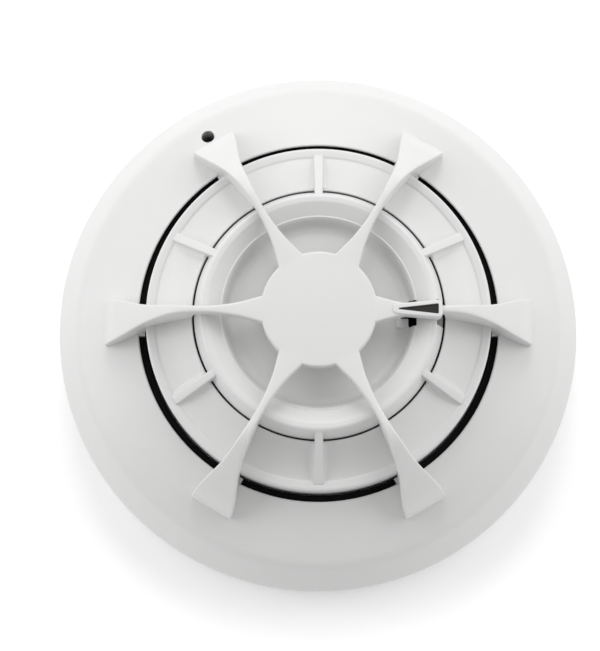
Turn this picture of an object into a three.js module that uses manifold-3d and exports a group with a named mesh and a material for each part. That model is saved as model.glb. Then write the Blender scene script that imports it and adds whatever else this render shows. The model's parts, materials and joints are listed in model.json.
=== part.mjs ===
// Heat detector: a guarded sensing head that turns off a surface-mounted base.
//
// Millimetres, +Z up. The origin is the centre of the base's back face. +Z points out through
// the sensing face, so the detector lies on its back. +X runs along the guard arm that carries
// the indicator window. Angles are measured from +X, counterclockwise seen from the front.

import * as THREE from 'three';
import { mergeVertices, toCreasedNormals } from 'three/addons/utils/BufferGeometryUtils.js';
import Module from 'manifold-3d';

const wasm = await Module();
wasm.setup();

// ---------------------------------------------------------------- driving dimensions

const GAP = 0.3;                  // clearance between pieces that touch
const ROUND = 48;                 // sides of a large turned piece
const SMALL_ROUND = 12;           // sides of a screw, post or boss

const SKIRT = { radius: 56, foot: 55.4, bottom: 0.8, top: 11.4 };
const SHOULDER = { radius: 51.4, height: 19.6 };
const BEZEL_EDGE = { radius: 38.3, height: 26.6 };
const WALL = 2;

const HUB = { radius: 12, top: 45, under: 43, pocket: 10.2 };
const ARM_COUNT = 6;
const ARM_UNDER = 41.7;           // underside of the arms over the chamber
const ARM_BEND = { radius: 27, round: 8, slope: 50 };
const ARM_ROOT_ANGLE = 13.4;      // half the angle that an arm root takes of the hub
const FOOT = { radius: 45.3, halfWidth: 4.65, corner: 1 };
const FOOT_POCKET = { inner: 39.6, outer: 43.6, bottom: 20, innerTop: 32.4, outerTop: 27.8,
  innerWidth: 2.4, outerWidth: 5.6 };

const WINDOW = { inner: 16.4, outer: 24.6, halfWidth: 1.1, wall: 0.8, noseHalf: 1, corner: 0.5, top: 45.4 };
const LOCK_HOLE = { radius: 47.4, angle: 120, bore: 1.42, tube: 2.1 };

const DOME = { outer: 36.3, inner: 26.4, rimTop: 32, innerTop: 36.4, wall: 1.7 };
const DOME_HOLLOW = [[34.2, 31.7], [31.8, 32.3], [29.2, 33.8], [DOME.inner, DOME.innerTop]];
const FLANGE = { radius: 38.6, bottom: 20.2, top: 21.6 };
const FIN = { inner: 24.7, outer: 35.2, innerTop: 40.9, outerTop: 32.1, innerWidth: 1.6, outerWidth: 2.1 };

const COLLAR = { top: 41.2, crest: 24, outer: 26, shoulder: 36.2, bottom: 15.6, wall: 1.7 };
const CHAMBER = { radius: 20.3, lip: 39.4, foot: [18.9, 36.3], hollow: [17.6, 35.9], crown: [10, 36.5],
  middle: 36.6, floor: 1.6, sensorHole: 3.2 };
const CHAMBER_WINDOW = { inner: 16, width: 5.6, depth: 9, wallBottom: 32.8, wallTop: 38.2 };

const HOUSING = { radius: 52.4, bottom: 9.5, top: 11.5, wallInner: 44.3, wallOuter: 46, wallBottom: 3 };
const UPSTAND = { inner: 49.9, outer: 51.2, top: 14.5 };
const BOARD = { radius: 33.8, bottom: 13.7, top: 15.3 };
const BOARD_SCREW = { circle: 29, angles: [90, 210, 330], hole: 1.3, post: 2.6 };
const COVER_SCREW = { circle: 41.6, angles: [30, 150, 270], hole: 1.4, post: 2.7 };
const LABEL = { radius: 13.5, thickness: 0.3 };

const HOLDER = { foot: 4.6, radius: 2.9, bore: 1.4, top: 34.8 };
const LEAD = { radius: 0.28, apart: 1.4, bottom: 15.8, top: 37.9 };
const BEAD = { radius: 1.35, bottom: 38.2, height: 3.1 };
const CAPACITOR = { radius: 3.2, height: 7.4 };
const SUPPRESSOR = { radius: 3.6, thickness: 2.4, stand: 1 };
const LED = { length: 3.2, width: 2.4, height: 1.4 };

const LUG = { angles: [45, 165, 285], halfAngle: 8, inner: 46.4, outer: 48.8, bottom: 3, top: 5.2 };
const LUG_STOP = { offset: 9.6, halfAngle: 1.2 };
const BASE = { radius: 51.5, floor: 2.2, rim: 7.8, rimInner: 49.4, cableHole: 15, cableCollar: 16.8 };
const MOUNT_SLOT = { inner: 30, outer: 43.5, halfWidth: 2.3, angles: [0, 90, 180, 270] };
const TERMINAL_ANGLES = [45, 135, 225, 315];
const TERMINAL = { screw: 23.5, hole: 1.9, pad: 3.1, plate: 3.4, width: 8, thickness: 0.8, crest: 8.1 };
const PAD = { middle: 24.5, length: 12, width: 10 };
const STRIP = { heel: 19.5, flatEnd: 28.4, rise: [31, 6.2], crestStart: 32.6, crestEnd: 34.8,
  tip: [36.4, 6.4] };
const WASHER = { size: 7, thickness: 1 };
const BLADE = { inner: 31, outer: 36.8, middle: 8.8, width: 5 };

const LOCK_BOSS = { radius: 3.2, top: 7.4, bore: 2, boreTop: 6.4, tipHole: 1.5 };
const LOCK_NOTCH = { inner: 43, outer: 47, angle: 111, halfAngle: 14 };
const PLUNGER = { tip: 9, shoulder: 6.1, foot: 5, thin: 1.2, thick: 1.7 };
const SPRING = { bottom: 1.5, top: 4.7, radius: 1.25, wire: 0.16, turns: 4 };
const PLUG = { radius: 1.7, bottom: 0.1, top: 1.2 };

// ---------------------------------------------------------------- shapes and booleans

const radians = THREE.MathUtils.degToRad;

// A closed geometry as a solid that can be joined and cut.
function toSolid(geometry) {
  const bare = new THREE.BufferGeometry();
  bare.setAttribute('position', geometry.getAttribute('position').clone());
  if (geometry.index) bare.setIndex(geometry.index.clone());
  const merged = mergeVertices(bare, 1e-4);
  const corners = [];
  for (let i = 0; i < merged.index.count; i += 3) {
    const face = [merged.index.getX(i), merged.index.getX(i + 1), merged.index.getX(i + 2)];
    if (new Set(face).size === 3) corners.push(...face);
  }
  return new wasm.Manifold(new wasm.Mesh({
    numProp: 3,
    vertProperties: new Float32Array(merged.attributes.position.array),
    triVerts: new Uint32Array(corners),
  }));
}

function toGeometry(solid) {
  const mesh = solid.getMesh();
  const geometry = new THREE.BufferGeometry();
  geometry.setAttribute('position', new THREE.BufferAttribute(new Float32Array(mesh.vertProperties), 3));
  geometry.setIndex(new THREE.BufferAttribute(new Uint32Array(mesh.triVerts), 1));
  return geometry;
}

function join(...geometries) {
  return toGeometry(geometries.map(toSolid).reduce((whole, next) => whole.add(next)));
}

function cut(geometry, ...tools) {
  return toGeometry(tools.map(toSolid).reduce((whole, tool) => whole.subtract(tool), toSolid(geometry)));
}

function common(first, second) {
  return toGeometry(toSolid(first).intersect(toSolid(second)));
}

// A closed outline of [radius, height] points turned about Z. It is put in the order that makes
// its faces point outwards.
function turned(outline, sides = ROUND) {
  const points = outline.map(([radius, height]) => new THREE.Vector2(radius, height));
  if (THREE.ShapeUtils.area(points) < 0) points.reverse();
  const geometry = new THREE.LatheGeometry([...points, points[0]], sides);
  return geometry.rotateX(Math.PI / 2);
}

function ring(inner, outer, bottom, top, sides = ROUND) {
  return turned([[inner, bottom], [outer, bottom], [outer, top], [inner, top]], sides);
}

function disc(radius, bottom, top, sides = ROUND) {
  const geometry = new THREE.CylinderGeometry(radius, radius, top - bottom, sides);
  return geometry.rotateX(Math.PI / 2).translate(0, 0, (bottom + top) / 2);
}

// A short upright cylinder that stands away from the axis.
function post(radius, bottom, top, distance, angle, sides = SMALL_ROUND) {
  return disc(radius, bottom, top, sides).translate(distance, 0, 0).rotateZ(radians(angle));
}

// A closed outline in the XY plane, raised from one height to another.
function slab(shape, bottom, top, curveSegments = 8) {
  const settings = { depth: top - bottom, bevelEnabled: false, curveSegments };
  return new THREE.ExtrudeGeometry(shape, settings).translate(0, 0, bottom);
}

// Part of a ring, centred on an angle.
function arcBlock(inner, outer, bottom, top, angle, halfAngle) {
  const shape = new THREE.Shape();
  shape.absarc(0, 0, outer, radians(angle - halfAngle), radians(angle + halfAngle), false);
  shape.absarc(0, 0, inner, radians(angle + halfAngle), radians(angle - halfAngle), true);
  return slab(shape, bottom, top, 4);
}

function box(width, depth, height, x, y, z) {
  return new THREE.BoxGeometry(width, depth, height).translate(x, y, z);
}

// A radial web along +X: a closed [radius, height] outline whose width changes evenly from its
// inner end to its outer end.
function web(outline, innerWidth, outerWidth = innerWidth) {
  const shape = new THREE.Shape(outline.map(([radius, height]) => new THREE.Vector2(radius, height)));
  const geometry = new THREE.ExtrudeGeometry(shape, { depth: 1, bevelEnabled: false });
  geometry.translate(0, 0, -0.5).rotateX(Math.PI / 2);
  const radii = outline.map(([radius]) => radius);
  const inner = Math.min(...radii);
  const outer = Math.max(...radii);
  const position = geometry.getAttribute('position');
  for (let i = 0; i < position.count; i++) {
    const along = (position.getX(i) - inner) / (outer - inner);
    position.setY(i, position.getY(i) * THREE.MathUtils.lerp(innerWidth, outerWidth, along));
  }
  return geometry;
}

// A bent strip of even thickness along +X, given by the middle line of its side view.
function strip(line, thickness, width) {
  const points = line.map(([radius, height]) => new THREE.Vector2(radius, height));
  const upper = [];
  const lower = [];
  points.forEach((point, i) => {
    const before = points[Math.max(i - 1, 0)];
    const after = points[Math.min(i + 1, points.length - 1)];
    const into = point.equals(before) ? after.clone().sub(point) : point.clone().sub(before);
    const out = point.equals(after) ? into.clone() : after.clone().sub(point);
    const bend = into.normalize().clone().add(out.normalize()).normalize();
    const side = new THREE.Vector2(-bend.y, bend.x);
    const reach = thickness / 2 / Math.max(bend.dot(into), 0.5);
    upper.push(point.clone().addScaledVector(side, reach).toArray());
    lower.push(point.clone().addScaledVector(side, -reach).toArray());
  });
  return web([...lower, ...upper.reverse()], width);
}

function copies(count, start, make) {
  return Array.from({ length: count }, (unused, i) => make(start + i * 360 / count, i));
}

// ---------------------------------------------------------------- materials

function material(color, roughness, metalness = 0) {
  return new THREE.MeshStandardMaterial({ color, roughness, metalness });
}

const MATERIALS = {
  coverWhite: material(0xf1f0ec, 0.42),
  baseWhite: material(0xe9e7e0, 0.5),
  black: material(0x101112, 0.55),
  smoked: material(0x1a1714, 0.12),
  board: material(0x1f5a37, 0.45),
  chip: material(0x1b1b1d, 0.5),
  capacitor: material(0x23292f, 0.4),
  suppressor: material(0x2b5d8f, 0.45),
  ledLens: material(0xf3e6df, 0.2),
  beadCoating: material(0x20120c, 0.25),
  tin: material(0xc9c8c3, 0.3, 0.9),
  nickel: material(0xbfb9a9, 0.32, 0.95),
  steel: material(0xb4b6b8, 0.3, 1),
  paper: material(0xf4f2ea, 0.85),
};

// ---------------------------------------------------------------- head: outer cover

// The outline of the hub and its six arms, seen from the front. Each arm side is one curve that
// pinches in beyond the hub and widens towards the foot.
function guardOutline() {
  const rootX = HUB.radius * Math.cos(radians(ARM_ROOT_ANGLE));
  const rootY = HUB.radius * Math.sin(radians(ARM_ROOT_ANGLE));
  const side = new THREE.SplineCurve([
    new THREE.Vector2(rootX, rootY),
    new THREE.Vector2(16, 1.6),
    new THREE.Vector2(20, 0.95),
    new THREE.Vector2(24, 0.7),
    new THREE.Vector2(30, 0.95),
    new THREE.Vector2(36, 1.9),
    new THREE.Vector2(42, 4.05),
    new THREE.Vector2(FOOT.radius - FOOT.corner, FOOT.halfWidth),
  ]).getPoints(14);
  const halfArm = [
    ...side,
    new THREE.Vector2(FOOT.radius - 0.3 * FOOT.corner, FOOT.halfWidth - 0.3 * FOOT.corner),
    new THREE.Vector2(FOOT.radius, FOOT.halfWidth - FOOT.corner),
  ];
  const mirrored = halfArm.map(({ x, y }) => new THREE.Vector2(x, -y));
  const arm = [...mirrored, ...halfArm.reverse()];
  const middle = new THREE.Vector2();
  const pitch = 360 / ARM_COUNT;
  const outline = copies(ARM_COUNT, 0, (angle) => {
    const turnedArm = arm.map((point) => point.clone().rotateAround(middle, radians(angle)));
    const hubEdge = [0.25, 0.5, 0.75].map((share) => {
      const spread = pitch - 2 * ARM_ROOT_ANGLE;
      const at = radians(angle + ARM_ROOT_ANGLE + share * spread);
      return new THREE.Vector2(HUB.radius * Math.cos(at), HUB.radius * Math.sin(at));
    });
    return [...turnedArm, ...hubEdge];
  });
  return new THREE.Shape(outline.flat());
}

// The side view that the hub and arms are cut to: flat over the chamber, then a bend and a
// straight slope down to the foot. Underneath it steps over the chamber and the dome ring. It is
// turned with two flats for each arm, one of them on the arm, so an arm is flat from side to side.
function guardEnvelope() {
  const { radius, round, slope } = ARM_BEND;
  const bend = [0, 0.33, 0.67, 1].map((share) => {
    const angle = radians(slope * share);
    return [radius + round * Math.sin(angle), HUB.top - round * (1 - Math.cos(angle))];
  });
  const [bendEnd, bendHeight] = bend[3];
  const footTop = bendHeight - (FOOT.radius - bendEnd) * Math.tan(radians(slope));
  const sideView = [
    [0, HUB.under],
    [0, HUB.top],
    ...bend,
    [FOOT.radius, footTop],
    [FOOT.radius, bezelHeight(FOOT.radius) - 1],
    [BEZEL_EDGE.radius + 0.6, BEZEL_EDGE.height - 1.4],
    [DOME.outer + GAP, BEZEL_EDGE.height - 1.4],
    [DOME.outer + GAP, DOME.rimTop + 1.3 * GAP],
    ...DOME_HOLLOW.map(([distance, height]) => [distance, height + 1.3 * GAP]),
    [COLLAR.crest + 1, ARM_UNDER],
    [HUB.pocket, ARM_UNDER],
    [HUB.pocket, HUB.under],
  ];
  const flats = 2 * ARM_COUNT;
  const halfFlat = Math.PI / flats;
  const corners = sideView.map(([distance, height]) => [distance / Math.cos(halfFlat), height]);
  return turned(corners, flats).rotateZ(halfFlat);
}

// The height of the sloping bezel at a distance from the axis.
function bezelHeight(distance) {
  const share = (distance - BEZEL_EDGE.radius) / (SHOULDER.radius - BEZEL_EDGE.radius);
  return THREE.MathUtils.lerp(BEZEL_EDGE.height, SHOULDER.height, share);
}

// The skirt, cone and bezel as one thin shell, with the shoulder between cone and bezel rounded.
function coverShell() {
  const { radius, foot, bottom, top } = SKIRT;
  const coneSlope = (SHOULDER.height - top) / (radius - SHOULDER.radius);
  return turned([
    [foot, bottom],
    [radius, top],
    [SHOULDER.radius + 0.9, SHOULDER.height - 0.9 * coneSlope],
    [SHOULDER.radius - 0.1, SHOULDER.height - 0.5],
    [SHOULDER.radius - 1.8, bezelHeight(SHOULDER.radius - 1.8)],
    [BEZEL_EDGE.radius, BEZEL_EDGE.height],
    [BEZEL_EDGE.radius, BEZEL_EDGE.height - 0.8],
    [BEZEL_EDGE.radius + 1.4, bezelHeight(BEZEL_EDGE.radius + 1.4) - WALL],
    [SHOULDER.radius - 1.6, SHOULDER.height - WALL + 0.2],
    [radius - WALL, top - 0.4],
    [foot - WALL + 0.2, bottom],
  ]);
}

// A frame that stands slightly proud of its arm, round the indicator window.
function windowFrame() {
  const { inner, outer, halfWidth, wall, noseHalf, corner, top } = WINDOW;
  const near = inner - 1.5 * wall;
  const far = outer + wall;
  const wide = halfWidth + wall;
  const side = [
    [near, noseHalf - corner],
    [near + corner, noseHalf],
    [far - corner, wide],
    [far, wide - corner],
  ];
  const mirrored = side.map(([x, y]) => [x, -y]).reverse();
  const points = [...side, ...mirrored].map(([x, y]) => new THREE.Vector2(x, y));
  return slab(new THREE.Shape(points), ARM_UNDER, top);
}

// The wedge-shaped outline of the window, narrowed by a clearance.
function windowWedge(clearance) {
  const shape = new THREE.Shape();
  shape.moveTo(WINDOW.inner + 4 * clearance, 0);
  shape.lineTo(WINDOW.outer - clearance, -WINDOW.halfWidth + clearance);
  shape.lineTo(WINDOW.outer - clearance, WINDOW.halfWidth - clearance);
  return shape;
}

// The hollow in an arm's foot, open towards the inside of the cover.
function footPocket(angle) {
  const { inner, outer, bottom, innerTop, outerTop, innerWidth, outerWidth } = FOOT_POCKET;
  const sideView = [[inner, bottom], [outer, bottom], [outer, outerTop], [inner, innerTop]];
  return web(sideView, innerWidth, outerWidth).rotateZ(radians(angle));
}

function outerCover() {
  const guard = common(slab(guardOutline(), SHOULDER.height, HUB.top + 1), guardEnvelope());
  const bosses = COVER_SCREW.angles.map((angle) =>
    post(COVER_SCREW.post, HOUSING.top + GAP, BEZEL_EDGE.height - 3.4, COVER_SCREW.circle, angle));
  const pilots = COVER_SCREW.angles.map((angle) =>
    post(COVER_SCREW.hole, HOUSING.top, SHOULDER.height, COVER_SCREW.circle, angle));
  const { radius, angle: lockAngle, bore, tube } = LOCK_HOLE;
  const lockTube = post(tube, HOUSING.top + GAP, SHOULDER.height + 0.8, radius, lockAngle);
  const lockHole = post(bore, HOUSING.top, BEZEL_EDGE.height, radius, lockAngle);
  const footPockets = copies(ARM_COUNT, 0, footPocket);
  return cut(
    join(coverShell(), guard, windowFrame(), ...bosses, lockTube),
    slab(windowWedge(0), ARM_UNDER - 1, WINDOW.top + 1),
    ...footPockets,
    ...pilots,
    lockHole,
  );
}

// ---------------------------------------------------------------- head: visible inner mouldings

// The dome ring stands inside the bezel. Its wall reaches down to the housing, its top is a
// shallow hollow, and six fins climb from its rim to the chamber collar.
function domeRing() {
  const { outer, inner, rimTop, innerTop, wall } = DOME;
  const body = turned([
    [outer, HOUSING.top + GAP],
    [outer, FLANGE.bottom],
    [FLANGE.radius, FLANGE.bottom],
    [FLANGE.radius, FLANGE.top],
    [outer, FLANGE.top],
    [outer, rimTop - 0.5],
    [outer - 0.5, rimTop],
    [outer - wall, rimTop],
    ...DOME_HOLLOW,
    [inner, innerTop - wall],
    [29.5, 31.9],
    [outer - wall, rimTop - 2.1],
    [outer - wall, HOUSING.top + GAP],
  ]);
  const fins = copies(ARM_COUNT, 180 / ARM_COUNT, (angle) => web([
    [FIN.inner, FIN.innerTop],
    [inner + 0.1, innerTop - 0.4],
    [28, 34],
    [FIN.outer, rimTop - 1],
    [FIN.outer, FIN.outerTop],
  ], FIN.innerWidth, FIN.outerWidth).rotateZ(radians(angle)));
  return join(body, ...fins);
}

// The chamber collar: a drafted outer wall, a rounded crest, an inner slope to a lip, and a
// sunken floor with a hole for the sensor. A window below the indicator arm lets the light pipe through.
function chamberCollar() {
  const { top, crest, outer, shoulder, bottom, wall } = COLLAR;
  const { radius, lip, foot, hollow, crown, middle, floor, sensorHole } = CHAMBER;
  const body = turned([
    [outer, bottom],
    [outer, shoulder],
    [crest + 0.5, top - 0.3],
    [crest, top],
    [crest - 0.9, top - 0.3],
    [radius, lip],
    [radius - 0.2, lip - 0.5],
    foot,
    hollow,
    crown,
    [sensorHole, middle],
    [sensorHole, middle - floor],
    [crown[0], crown[1] - floor],
    [hollow[0], hollow[1] - floor],
    [foot[0] + 0.7, foot[1] - 1.4],
    [radius + 1.3, lip - floor],
    [crest - 0.4, lip - 1.4],
    [outer - wall, shoulder - 0.6],
    [outer - wall, bottom],
  ]);
  const { inner, width, depth, wallBottom, wallTop } = CHAMBER_WINDOW;
  const floorWindow = box(radius - inner, width, depth, (inner + radius) / 2, 0, lip - 2);
  const wallWindow = box(3, width, wallTop - wallBottom, outer, 0, (wallTop + wallBottom) / 2);
  return cut(body, floorWindow, wallWindow);
}

function baffleRing() {
  return ring(DOME.outer + GAP, FLANGE.radius, FLANGE.top + GAP, BEZEL_EDGE.height - 2.3);
}

// A wedge that fills the window, and a stem that reaches down to the indicator on the board.
function lightPipe() {
  const ledTop = BOARD.top + GAP + LED.height;
  const stemBottom = ledTop + 1;
  const stemTop = ARM_UNDER - 0.1;
  const wedge = slab(windowWedge(0.12), ARM_UNDER + 0.2, WINDOW.top - 0.7);
  const stem = box(2.6, 1.6, stemTop - stemBottom, 18.4, 0, (stemTop + stemBottom) / 2);
  const neck = box(2, 0.4, 3, 19.6, 0, ARM_UNDER);
  return join(wedge, neck, stem);
}

// ---------------------------------------------------------------- head: sensor and electronics

// A tube that stands on the board and carries the sensor's leads.
function sensorHolder() {
  const { foot, radius, bore, top } = HOLDER;
  const bottom = BOARD.top + GAP;
  return turned([
    [bore, bottom],
    [foot, bottom],
    [foot, bottom + 1.2],
    [radius, bottom + 2],
    [radius - 0.2, top - 0.8],
    [radius - 0.8, top],
    [bore, top],
  ], 16);
}

function sensorLead() {
  return disc(LEAD.radius, LEAD.bottom, LEAD.top, 10);
}

function sensorBead() {
  const { radius, bottom, height } = BEAD;
  const top = bottom + height;
  return turned([
    [0, bottom],
    [0.6 * radius, bottom + 0.1],
    [0.93 * radius, bottom + 0.8],
    [radius, bottom + 1.6],
    [0.8 * radius, top - 0.6],
    [0.45 * radius, top - 0.1],
    [0, top],
  ], 16);
}

function circuitBoard() {
  const holes = BOARD_SCREW.angles.map((angle) =>
    post(BOARD_SCREW.hole, BOARD.bottom - 1, BOARD.top + 1, BOARD_SCREW.circle, angle));
  return cut(disc(BOARD.radius, BOARD.bottom, BOARD.top), ...holes);
}

// A flat part on the board, with its top edges broken.
function chip(width, depth, height) {
  const shape = new THREE.Shape();
  shape.moveTo(-width / 2, -depth / 2);
  shape.lineTo(width / 2, -depth / 2);
  shape.lineTo(width / 2, depth / 2);
  shape.lineTo(-width / 2, depth / 2);
  const bevel = 0.25;
  const settings = { depth: height - 2 * bevel, bevelSize: bevel, bevelThickness: bevel, bevelSegments: 1 };
  const geometry = new THREE.ExtrudeGeometry(shape, { ...settings, bevelOffset: -bevel });
  return geometry.translate(0, 0, BOARD.top + GAP + bevel);
}

// A can with a groove near its foot.
function filterCapacitor() {
  const { radius, height } = CAPACITOR;
  const bottom = BOARD.top + GAP;
  const top = bottom + height;
  return turned([
    [0, bottom],
    [radius - 0.2, bottom],
    [radius, bottom + 0.4],
    [radius - 0.25, bottom + 0.9],
    [radius, bottom + 1.4],
    [radius, top - 0.4],
    [radius - 0.3, top],
    [0, top],
  ], SMALL_ROUND);
}

// A thick disc that stands on its edge.
function surgeSuppressor() {
  const { radius, thickness, stand } = SUPPRESSOR;
  const geometry = new THREE.CylinderGeometry(radius, radius, thickness, SMALL_ROUND);
  return geometry.translate(0, 0, BOARD.top + GAP + stand + radius);
}

// ---------------------------------------------------------------- head: back housing

function backHousing() {
  const { radius, bottom, top, wallInner, wallOuter, wallBottom } = HOUSING;
  const floor = disc(radius, bottom, top);
  const upstand = ring(UPSTAND.inner, UPSTAND.outer, top - 0.5, UPSTAND.top);
  const wall = ring(wallInner, wallOuter, wallBottom, bottom + 0.5);
  const lugs = LUG.angles.map((angle) =>
    arcBlock(wallInner + 0.5, LUG.outer, LUG.bottom, LUG.top, angle, LUG.halfAngle));
  const posts = BOARD_SCREW.angles.map((angle) =>
    post(BOARD_SCREW.post, top - 0.5, BOARD.bottom - GAP, BOARD_SCREW.circle, angle));
  const postHoles = BOARD_SCREW.angles.map((angle) =>
    post(BOARD_SCREW.hole, bottom + 0.8, BOARD.bottom, BOARD_SCREW.circle, angle));
  const screwHoles = COVER_SCREW.angles.map((angle) =>
    post(COVER_SCREW.hole, bottom - 1, top + 1, COVER_SCREW.circle, angle));
  const bladeSlots = TERMINAL_ANGLES.map((angle) =>
    box(2 * TERMINAL.thickness, BLADE.width + 0.8, 4, BLADE.inner, 0, (bottom + top) / 2)
      .rotateZ(radians(angle)));
  const { inner, outer, angle: notchAngle, halfAngle } = LOCK_NOTCH;
  const lockNotch = arcBlock(inner, outer, wallBottom - 1, bottom - 0.5, notchAngle, halfAngle);
  const toolHole = post(1.6, bottom - 0.5, top + 0.5, LOCK_HOLE.radius, LOCK_HOLE.angle);
  const body = join(floor, upstand, wall, ...lugs, ...posts);
  return cut(body, ...postHoles, ...screwHoles, ...bladeSlots, lockNotch, toolHole);
}

// A contact strip under the housing, with a tab that passes up through it to the board.
function contactBlade() {
  const { inner, outer, middle, width } = BLADE;
  return strip([[outer, middle], [inner, middle], [inner, BOARD.bottom - GAP]], TERMINAL.thickness, width);
}

function rearLabel() {
  return disc(LABEL.radius, HOUSING.bottom - GAP - LABEL.thickness, HOUSING.bottom - GAP);
}

// ---------------------------------------------------------------- fasteners

// A pan-head screw standing on its point, with a cross recess in the head.
function screw({ head, headHeight, shank, length }) {
  const body = turned([
    [0, -length],
    [shank * 0.5, -length],
    [shank, 0.8 - length],
    [shank, 0],
    [head, 0],
    [head, headHeight * 0.5],
    [head * 0.7, headHeight],
    [0, headHeight],
  ], SMALL_ROUND);
  const slotLength = head * 1.1;
  const slotWidth = head * 0.25;
  const depth = headHeight * 0.5;
  const across = box(slotLength, slotWidth, depth, 0, 0, headHeight - depth / 2 + 0.01);
  const along = box(slotWidth, slotLength, depth, 0, 0, headHeight - depth / 2 + 0.01);
  return cut(body, across, along);
}

// ---------------------------------------------------------------- base

// The outline of a radial slot with round ends.
function mountSlot(angle) {
  const { inner, outer, halfWidth } = MOUNT_SLOT;
  const shape = new THREE.Shape();
  shape.absarc(outer, 0, halfWidth, -Math.PI / 2, Math.PI / 2, false);
  shape.absarc(inner, 0, halfWidth, Math.PI / 2, 1.5 * Math.PI, false);
  return slab(shape, -1, BASE.floor + 1, 6).rotateZ(radians(angle));
}

// A floor with a rim and a low collar round its cable hole. Under each lug the floor is open, as
// the mould needs, and beside it stands a stop.
function basePlate() {
  const { radius, floor, rim, rimInner, cableHole, cableCollar } = BASE;
  const chamfer = 0.6;
  const collarTop = floor + 2.4;
  const plate = turned([
    [cableHole, 0],
    [radius - chamfer, 0],
    [radius, chamfer],
    [radius, rim],
    [rimInner, rim],
    [rimInner, floor],
    [cableCollar, floor],
    [cableCollar, collarTop],
    [cableHole, collarTop],
  ]);
  const sunk = floor - 0.5;
  const lugs = LUG.angles.map((angle) =>
    arcBlock(LUG.inner, rimInner + 0.6, LUG.top + 0.4, rim, angle, LUG.halfAngle));
  const stops = LUG.angles.map((angle) =>
    arcBlock(LUG.inner, rimInner + 0.6, sunk, rim, angle - LUG_STOP.offset, LUG_STOP.halfAngle));
  const windows = LUG.angles.map((angle) =>
    arcBlock(LUG.inner + 0.2, rimInner - 0.2, -1, floor + 1, angle, LUG.halfAngle - 0.5));
  const pads = TERMINAL_ANGLES.map((angle) =>
    box(PAD.length, PAD.width, TERMINAL.pad - sunk, PAD.middle, 0, (TERMINAL.pad + sunk) / 2)
      .rotateZ(radians(angle)));
  const padHoles = TERMINAL_ANGLES.map((angle) =>
    post(TERMINAL.hole - 0.1, 0.9, TERMINAL.pad + 1, TERMINAL.screw, angle));
  const slots = MOUNT_SLOT.angles.map(mountSlot);
  const { radius: lockRadius, angle: lockAngle } = LOCK_HOLE;
  const lockBoss = post(LOCK_BOSS.radius, sunk, LOCK_BOSS.top, lockRadius, lockAngle);
  const lockBore = post(LOCK_BOSS.bore, -1, LOCK_BOSS.boreTop, lockRadius, lockAngle);
  const tipHole = post(LOCK_BOSS.tipHole, LOCK_BOSS.boreTop - 1, LOCK_BOSS.top + 1, lockRadius, lockAngle);
  const body = join(plate, ...lugs, ...stops, ...pads, lockBoss);
  return cut(body, ...windows, ...padHoles, ...slots, lockBore, tipHole);
}

// A spring strip: flat under the clamp screw, then arched up to press on the head's contact.
function terminalPlate() {
  const flat = TERMINAL.plate + TERMINAL.thickness / 2;
  const crest = TERMINAL.crest - TERMINAL.thickness / 2;
  const { heel, flatEnd, rise, crestStart, crestEnd, tip } = STRIP;
  const line = [[heel, flat], [flatEnd, flat], rise, [crestStart, crest], [crestEnd, crest], tip];
  const body = strip(line, TERMINAL.thickness, TERMINAL.width);
  return cut(body, post(TERMINAL.hole, TERMINAL.plate - 1, TERMINAL.plate + 2, TERMINAL.screw, 0));
}

function clampWasher() {
  const { size, thickness } = WASHER;
  const bottom = TERMINAL.plate + TERMINAL.thickness + GAP;
  const plate = box(size, size, thickness, TERMINAL.screw, 0, bottom + thickness / 2);
  return cut(plate, post(TERMINAL.hole, bottom - 1, bottom + thickness + 1, TERMINAL.screw, 0));
}

// The lock plunger stands in its boss, with its tip just below the head's floor.
function lockPlunger() {
  const { tip, shoulder, foot, thin, thick } = PLUNGER;
  const chamfer = 0.4;
  return turned([
    [0, foot],
    [thick, foot],
    [thick, shoulder],
    [thin, shoulder],
    [thin, tip - chamfer],
    [thin - chamfer, tip],
    [0, tip],
  ], SMALL_ROUND);
}

function lockSpring() {
  class Helix extends THREE.Curve {
    getPoint(share, target = new THREE.Vector3()) {
      const angle = share * SPRING.turns * 2 * Math.PI;
      const height = THREE.MathUtils.lerp(SPRING.bottom + SPRING.wire, SPRING.top - SPRING.wire, share);
      return target.set(SPRING.radius * Math.cos(angle), SPRING.radius * Math.sin(angle), height);
    }
  }
  const section = new THREE.Shape();
  section.absarc(0, 0, SPRING.wire, 0, 2 * Math.PI, false);
  const settings = { steps: SPRING.turns * 9, curveSegments: 3, bevelEnabled: false };
  return new THREE.ExtrudeGeometry(section, { ...settings, extrudePath: new Helix() });
}

function lockPlug() {
  return disc(PLUG.radius, PLUG.bottom, PLUG.top, SMALL_ROUND);
}

// ---------------------------------------------------------------- assembly

const detector = new THREE.Group();
const head = new THREE.Group();
const base = new THREE.Group();
detector.add(head, base);

// Adds a named piece. Its shape is closed and merged first, then given creased normals.
function add(group, name, geometry, look, place = {}) {
  const shape = toCreasedNormals(toGeometry(toSolid(geometry)), radians(30));
  const mesh = new THREE.Mesh(shape, look);
  mesh.name = name;
  const { distance = 0, angle = 0, x = 0, y = 0, z = 0, turn = 0 } = place;
  const at = radians(angle);
  mesh.position.set(x + distance * Math.cos(at), y + distance * Math.sin(at), z);
  mesh.rotation.z = at + radians(turn);
  group.add(mesh);
}

add(head, 'outer_cover', outerCover(), MATERIALS.coverWhite);
add(head, 'dome_ring', domeRing(), MATERIALS.coverWhite);
add(head, 'chamber_collar', chamberCollar(), MATERIALS.coverWhite);
add(head, 'baffle_ring', baffleRing(), MATERIALS.black);
add(head, 'light_pipe', lightPipe(), MATERIALS.smoked);

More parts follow.
